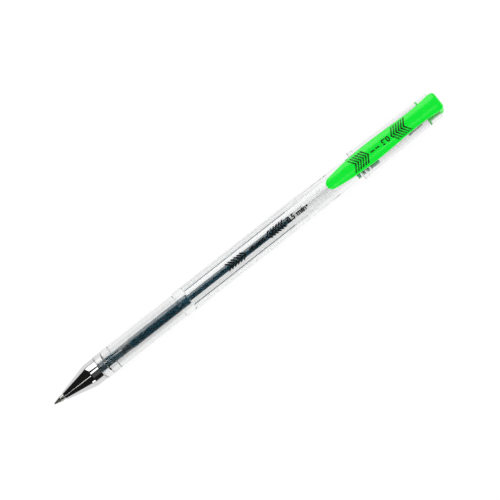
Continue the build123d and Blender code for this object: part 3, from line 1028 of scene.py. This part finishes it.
def add_mesh(bm, part):
    """Moves the shape in part into bm."""
    carrier = bpy.data.meshes.new("carrier")
    part.to_mesh(carrier)
    part.free()
    bm.from_mesh(carrier)
    bpy.data.meshes.remove(carrier)


def figures(bm, words, middle, height, turn=0.0, weight=0.0):
    """Line-width figures, set in a plain face and centred on a station."""
    curve = bpy.data.curves.new("figures", "FONT")
    curve.body = words
    curve.size = height / CAPITAL_SHARE
    curve.align_x = "CENTER"
    curve.extrude = PRINT_THICKNESS / 2
    curve.offset = weight
    curve.resolution_u = 4
    carrier = bpy.data.objects.new("figures", curve)
    bpy.context.scene.collection.objects.link(carrier)
    bpy.context.view_layer.update()
    shape = bpy.data.meshes.new_from_object(carrier.evaluated_get(
        bpy.context.evaluated_depsgraph_get()
    ))
    part = bmesh.new()
    part.from_mesh(shape)
    bmesh.ops.remove_doubles(part, verts=part.verts, dist=1e-5)
    bmesh.ops.translate(part, verts=part.verts, vec=(0, -height / 2, PRINT_THICKNESS / 2))
    bmesh.ops.rotate(part, verts=part.verts, cent=(0, 0, 0), matrix=Matrix.Rotation(turn, 3, "Z"))
    bmesh.ops.translate(part, verts=part.verts, vec=(middle, 0, 0))
    add_mesh(bm, part)
    bpy.data.objects.remove(carrier)
    bpy.data.curves.remove(curve)
    bpy.data.meshes.remove(shape)


def slanted_bars(bm, first, last, count, height, stroke, lean):
    """A plain row of slanted strokes with a gap in its middle."""
    for step in range(count):
        if step == count // 2:
            continue
        station = first + (last - first) * step / (count - 1)
        outline = [
            (station - lean / 2, -height / 2),
            (station - lean / 2 + stroke, -height / 2),
            (station + lean / 2 + stroke, height / 2),
            (station + lean / 2, height / 2),
        ]
        part = bmesh.new()
        slab(part, outline, ())
        add_mesh(bm, part)


def dot(bm, station, radius):
    """A round printed spot."""
    part = bmesh.new()
    count = 20
    turns = [2 * math.pi * step / count for step in range(count)]
    slab(part, [(station + radius * math.cos(t), radius * math.sin(t)) for t in turns], ())
    add_mesh(bm, part)


def build_barrel_print(ink):
    """Black marks on the upper flat of the barrel."""
    bm = bmesh.new()
    chevrons(bm, 77.9, 84.25, 6, BARREL_CHEVRON)
    slanted_bars(bm, 85.8, 91.8, 12, height=1.2, stroke=0.38, lean=0.35)
    chevrons(bm, 92.95, 98.95, 6, BARREL_CHEVRON, -1)
    dot(bm, 101.3, 0.36)
    figures(bm, WORDS, 106.1, 1.85, weight=0.11)
    dot(bm, 110.6, 0.4)
    bmesh.ops.translate(bm, verts=bm.verts, vec=(0, 0, HEX_FLAT_RADIUS + PRINT_LIFT))
    roll = Matrix.Rotation(HEX_ROLL, 3, "X")
    bmesh.ops.rotate(bm, verts=bm.verts, cent=(0, 0, 0), matrix=roll)
    marks = finished(bm, "barrel_print")
    settle(marks, "pen_barrel", "ink", ink)


def build_clip_print(ink):
    """Dark green marks on the crowned face of the clip."""
    bm = bmesh.new()
    slices = [CLIP_SLICE_SPACING * step for step in range(-6, 7)]
    chevrons(bm, 132.9, 138.25, 6, CLIP_CHEVRON, 1, slices)
    figures(bm, WORDS, 143.0, 1.9, turn=math.pi, weight=0.12)
    chevrons(bm, 147.7, 153.0, 6, CLIP_CHEVRON, -1, slices)
    for vert in bm.verts:
        vert.co.z += arch_height(vert.co.y) + PRINT_LIFT - PRINT_THICKNESS
    marks = finished(bm, "clip_print")
    settle(marks, "clip", "ink", ink)


# ---------------------------------------------------------------- studio
CAMERA_TILT = math.radians(5.4)
PEN_TURN = math.radians(38.23)
LENS = 200.0
SENSOR = 36.0
VIEW_WIDTH = 0.1725
AIM_STATION = 85.9
FLOOR_GLOW = 0.885
CLOTH_LOW = 0.03
CLOTH_HIGH = 0.16
BACK = Vector((0, -math.sin(CAMERA_TILT), math.cos(CAMERA_TILT)))
ACROSS = Vector((0, math.cos(CAMERA_TILT), math.sin(CAMERA_TILT)))
ALONG = Vector((1, 0, 0))


def build_camera():
    """Looks almost straight down, with the pen rising to the right across the view."""
    right = ALONG * math.cos(PEN_TURN) - ACROSS * math.sin(PEN_TURN)
    up = ALONG * math.sin(PEN_TURN) + ACROSS * math.cos(PEN_TURN)
    data = bpy.data.cameras.new("camera")
    data.lens = LENS
    data.sensor_width = SENSOR
    data.clip_start = 0.01
    data.clip_end = 20
    camera = bpy.data.objects.new("camera", data)
    bpy.context.scene.collection.objects.link(camera)
    distance = VIEW_WIDTH * LENS / SENSOR
    spot = place(AIM_STATION) + BACK * distance
    camera.matrix_world = Matrix(
        (
            (right.x, up.x, BACK.x, spot.x),
            (right.y, up.y, BACK.y, spot.y),
            (right.z, up.z, BACK.z, spot.z),
            (0, 0, 0, 1),
        )
    )
    bpy.context.scene.camera = camera


def build_floor():
    """Pale table top, tilted so that the cap's lip and the front of the grip both touch it."""
    lip = place(CAP_MOUTH, 0, -LIP_RADIUS)
    grip = place(GRIP_START, 0, -GRIP_RADIUS)
    slope = math.atan2(grip.z - lip.z, lip.x - grip.x)
    bm = bmesh.new()
    bmesh.ops.create_grid(bm, x_segments=8, y_segments=8, size=3.0)
    bmesh.ops.rotate(bm, verts=bm.verts, cent=(0, 0, 0), matrix=Matrix.Rotation(slope, 3, "Y"))
    bmesh.ops.translate(bm, verts=bm.verts, vec=(lip.x, 0, lip.z - 0.00002))
    mesh = bpy.data.meshes.new("table_top")
    bm.to_mesh(mesh)
    bm.free()
    floor = bpy.data.objects.new("table_top", mesh)
    bpy.context.scene.collection.objects.link(floor)
    paint = bpy.data.materials.new("pale table top")
    paint.use_nodes = True
    shader = paint.node_tree.nodes["Principled BSDF"]
    shader.inputs["Base Color"].default_value = (0.16, 0.16, 0.16, 1)
    shader.inputs["Roughness"].default_value = 0.9
    shader.inputs["Specular IOR Level"].default_value = 0.0
    shader.inputs["Emission Color"].default_value = (1, 1, 1, 1)
    shader.inputs["Emission Strength"].default_value = FLOOR_GLOW
    mesh.materials.append(paint)


def build_surroundings():
    """White surroundings, with dark cloth overhead that only shows by reflection or
    refraction. It starts a little above the horizon."""
    world = bpy.data.worlds.new("studio")
    bpy.context.scene.world = world
    world.use_nodes = True
    tree = world.node_tree
    tree.nodes.clear()
    pale = tree.nodes.new("ShaderNodeBackground")
    pale.inputs["Color"].default_value = (1.0, 1.0, 1.0, 1)
    cloth = tree.nodes.new("ShaderNodeBackground")
    cloth.inputs["Color"].default_value = (0.014, 0.014, 0.013, 1)
    mix = tree.nodes.new("ShaderNodeMixShader")
    out = tree.nodes.new("ShaderNodeOutputWorld")
    path = tree.nodes.new("ShaderNodeLightPath")
    direction = tree.nodes.new("ShaderNodeTexCoord")
    parts = tree.nodes.new("ShaderNodeSeparateXYZ")
    height = tree.nodes.new("ShaderNodeMapRange")
    height.inputs["From Min"].default_value = CLOTH_LOW
    height.inputs["From Max"].default_value = CLOTH_HIGH
    tree.links.new(direction.outputs["Generated"], parts.inputs["Vector"])
    tree.links.new(parts.outputs["Z"], height.inputs["Value"])
    share = height.outputs["Result"]
    for kind in ("Diffuse Depth", "Is Camera Ray"):
        less = tree.nodes.new("ShaderNodeMath")
        less.operation = "SUBTRACT"
        less.use_clamp = True
        tree.links.new(share, less.inputs[0])
        tree.links.new(path.outputs[kind], less.inputs[1])
        share = less.outputs["Value"]
    tree.links.new(share, mix.inputs["Fac"])
    tree.links.new(pale.outputs["Background"], mix.inputs[1])
    tree.links.new(cloth.outputs["Background"], mix.inputs[2])
    tree.links.new(mix.outputs["Shader"], out.inputs["Surface"])


def panel_light(name, target, angle, distance, width, length, radiance, shift=0.0, skew=0.0):
    """Rectangular light over a point of the pen. The angle is measured round the pen from the
    camera's direction, towards ACROSS. The length runs along the pen and shift moves it so."""
    direction = BACK * math.cos(angle) + ACROSS * math.sin(angle)
    spot = target + direction * distance + ALONG * shift
    data = bpy.data.lights.new(name, "AREA")
    data.shape = "RECTANGLE"
    data.size = length
    data.size_y = width
    data.energy = radiance * math.pi * width * length
    lamp = bpy.data.objects.new(name, data)
    bpy.context.scene.collection.objects.link(lamp)
    side = direction.cross(ALONG).normalized()
    turned_along = (ALONG * math.cos(skew) + side * math.sin(skew)).normalized()
    turned_side = direction.cross(turned_along).normalized()
    lamp.matrix_world = Matrix(
        (
            (turned_along.x, turned_side.x, direction.x, spot.x),
            (turned_along.y, turned_side.y, direction.y, spot.y),
            (turned_along.z, turned_side.z, direction.z, spot.z),
            (0, 0, 0, 1),
        )
    )
    lamp.visible_camera = False
    lamp.visible_transmission = True
    lamp.visible_diffuse = False
    return lamp


def build_lights():
    """A broad softbox at the side, and small lights for the nose and the clip."""
    middle = place(85.5)
    nose = place(18)
    clip = place(150)
    panel_light(
        "side softbox", middle, math.radians(60), distance=0.5, width=0.56, length=0.66,
        radiance=2.2, shift=0.19, skew=math.radians(12),
    )
    panel_light(
        "front strip", nose, math.radians(-5), distance=0.62, width=0.035, length=0.60,
        radiance=2.6, shift=-0.42,
    )
    panel_light(
        "nose strip", nose, math.radians(13.5), distance=0.15, width=0.04, length=0.02,
        radiance=2.2, shift=-0.0065,
    )
    panel_light(
        "nose card", nose, math.radians(-20), distance=0.15, width=0.09, length=0.02,
        radiance=0.08, shift=-0.0065,
    )
    panel_light(
        "corner lamp", nose, math.radians(-66), distance=0.3, width=0.07, length=0.08,
        radiance=2.5, shift=-0.08,
    )
    panel_light(
        "clip strip", clip, math.radians(-7), distance=0.3, width=0.03, length=0.12,
        radiance=1.4,
    )


# ---------------------------------------------------------------- build everything
build_camera()
build_floor()
build_surroundings()
build_lights()

BARREL_TINT = (0.915, 0.920, 0.920, 1)
GRIP_TINT = (0.810, 0.815, 0.815, 1)
CAP_TINT = (0.840, 0.843, 0.843, 1)
STYRENE = clear_plastic("clear barrel styrene", BARREL_TINT, GRIP_TINT, COLLAR_START, 0.008)
CAP_STYRENE = clear_plastic("clear cap styrene", CAP_TINT, CAP_TINT, CAP_MOUTH, 0.015)
GREEN = green_plastic()
build_point(turned_steel(), carbide())
build_holder(milky_plastic())
build_refill(tube_plastic(), gel(), grease())
build_nose(polished_chrome())
build_barrel(STYRENE)
build_plug(green_plastic_painted_shade())
build_cap(CAP_STYRENE)
build_seal(seal_plastic())
build_moulding(GREEN)
build_barrel_print(print_ink("black print", (0.010, 0.010, 0.011, 1), (0.002, 0.002, 0.002, 1)))
build_clip_print(print_ink("dark green print", (0.0, 0.07, 0.006, 1), (0.0, 0.02, 0.003, 1)))

scene = bpy.context.scene
scene.view_settings.view_transform = "Standard"
scene.cycles.max_bounces = 32
scene.cycles.transmission_bounces = 32
scene.cycles.glossy_bounces = 12
